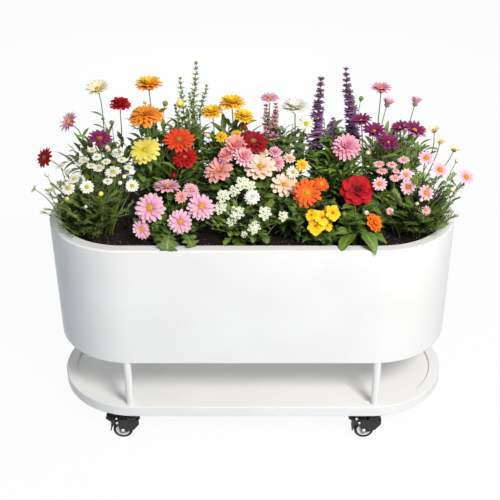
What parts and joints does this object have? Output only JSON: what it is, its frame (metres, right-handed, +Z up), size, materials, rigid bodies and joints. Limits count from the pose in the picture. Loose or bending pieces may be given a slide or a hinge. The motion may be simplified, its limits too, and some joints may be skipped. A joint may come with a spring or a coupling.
{
  "type": "raised garden bed",
  "caption": "Oblong steel planter trough full of soil and mixed flowers, on posts above a shelf tray that rolls on braked swivel castors.",
  "frame": {"origin": "on the ground under the middle of the bed", "axes": "+X along the bed, to the right in the picture; +Y to the back; +Z up"},
  "size_m": [1.0577, 0.4019, 0.915],
  "materials": {
    "white_steel": "white powder coat, satin",
    "zinc_steel": "bright zinc plate",
    "black_steel": "black paint, satin",
    "black_plastic": "black nylon",
    "grey_nylon": "pale grey nylon",
    "black_rubber": "matt rubber",
    "soil": "moist potting soil",
    "foliage": "living leaf",
    "white_petals": "petal",
    "pink_petals": "petal",
    "coral_petals": "petal",
    "yellow_petals": "petal",
    "orange_petals": "petal",
    "red_petals": "petal",
    "magenta_petals": "petal",
    "purple_petals": "petal"
  },
  "bodies": {
    "planter": {"trough_wall": "white_steel", "trough_floor": "white_steel", "floor_channels": "white_steel", "post_front_left": "white_steel", "post_front_right": "white_steel", "post_rear_left": "white_steel", "post_rear_right": "white_steel", "tray_rail": "white_steel", "shelf_panel": "white_steel", "shelf_channels": "white_steel", "post_plugs": "zinc_steel", "post_bolts": "zinc_steel", "post_spacers": "zinc_steel", "castor_stems": "zinc_steel", "race_balls": "zinc_steel", "upper_races": "black_steel", "soil": "soil", "white_daisies": "white_petals", "pink_daisies": "pink_petals", "candytuft": "white_petals", "violas": "yellow_petals", "orange_daisies": "orange_petals", "red_zinnias": "red_petals", "pale_pink_daisies": "pink_petals", "gerberas": "orange_petals", "chrysanthemums": "coral_petals", "pink_zinnia": "pink_petals", "magenta_daisies": "magenta_petals", "dark_red_daisies": "red_petals", "golden_daisies": "yellow_petals", "green_spikes": "foliage", "calendulas": "yellow_petals", "white_marguerites": "white_petals", "purple_salvia": "purple_petals", "tall_pink_daisies": "pink_petals"},
    "fork_front_left": {"fork_front_left": "black_steel", "axle_front_left": "zinc_steel", "brake_pin_front_left": "zinc_steel"},
    "wheel_front_left": {"hub_front_left": "grey_nylon", "tyre_front_left": "black_rubber"},
    "brake_front_left": {"brake_lever_front_left": "black_plastic"},
    "fork_front_right": {"fork_front_right": "black_steel", "axle_front_right": "zinc_steel", "brake_pin_front_right": "zinc_steel"},
    "wheel_front_right": {"hub_front_right": "grey_nylon", "tyre_front_right": "black_rubber"},
    "brake_front_right": {"brake_lever_front_right": "black_plastic"},
    "fork_rear_left": {"fork_rear_left": "black_steel", "axle_rear_left": "zinc_steel", "brake_pin_rear_left": "zinc_steel"},
    "wheel_rear_left": {"hub_rear_left": "grey_nylon", "tyre_rear_left": "black_rubber"},
    "brake_rear_left": {"brake_lever_rear_left": "black_plastic"},
    "fork_rear_right": {"fork_rear_right": "black_steel", "axle_rear_right": "zinc_steel", "brake_pin_rear_right": "zinc_steel"},
    "wheel_rear_right": {"hub_rear_right": "grey_nylon", "tyre_rear_right": "black_rubber"},
    "brake_rear_right": {"brake_lever_rear_right": "black_plastic"}
  },
  "joints": [
    {"name": "swivel_front_left", "type": "hinge", "parent": "planter", "child": "fork_front_left", "pos_m": [-0.31, -0.184, 0.064], "axis": [0, 0, 1], "continuous": true},
    {"name": "spin_front_left", "type": "hinge", "parent": "fork_front_left", "child": "wheel_front_left", "pos_m": [-0.334, -0.184, 0.025], "axis": [0, 1, 0], "continuous": true},
    {"name": "brake_front_left", "type": "hinge", "parent": "fork_front_left", "child": "brake_front_left", "pos_m": [-0.34693, -0.184, 0.05151], "axis": [0, -1, 0], "range_deg": [0, 7]},
    {"name": "swivel_front_right", "type": "hinge", "parent": "planter", "child": "fork_front_right", "pos_m": [0.31, -0.184, 0.064], "axis": [0, 0, 1], "continuous": true},
    {"name": "spin_front_right", "type": "hinge", "parent": "fork_front_right", "child": "wheel_front_right", "pos_m": [0.286, -0.184, 0.025], "axis": [0, 1, 0], "continuous": true},
    {"name": "brake_front_right", "type": "hinge", "parent": "fork_front_right", "child": "brake_front_right", "pos_m": [0.27307, -0.184, 0.05151], "axis": [0, -1, 0], "range_deg": [0, 7]},
    {"name": "swivel_rear_left", "type": "hinge", "parent": "planter", "child": "fork_rear_left", "pos_m": [-0.31, 0.184, 0.064], "axis": [0, 0, 1], "continuous": true},
    {"name": "spin_rear_left", "type": "hinge", "parent": "fork_rear_left", "child": "wheel_rear_left", "pos_m": [-0.334, 0.184, 0.025], "axis": [0, 1, 0], "continuous": true},
    {"name": "brake_rear_left", "type": "hinge", "parent": "fork_rear_left", "child": "brake_rear_left", "pos_m": [-0.34693, 0.184, 0.05151], "axis": [0, -1, 0], "range_deg": [0, 7]},
    {"name": "swivel_rear_right", "type": "hinge", "parent": "planter", "child": "fork_rear_right", "pos_m": [0.31, 0.184, 0.064], "axis": [0, 0, 1], "continuous": true},
    {"name": "spin_rear_right", "type": "hinge", "parent": "fork_rear_right", "child": "wheel_rear_right", "pos_m": [0.286, 0.184, 0.025], "axis": [0, 1, 0], "continuous": true},
    {"name": "brake_rear_right", "type": "hinge", "parent": "fork_rear_right", "child": "brake_rear_right", "pos_m": [0.27307, 0.184, 0.05151], "axis": [0, -1, 0], "range_deg": [0, 7]}
  ]
}
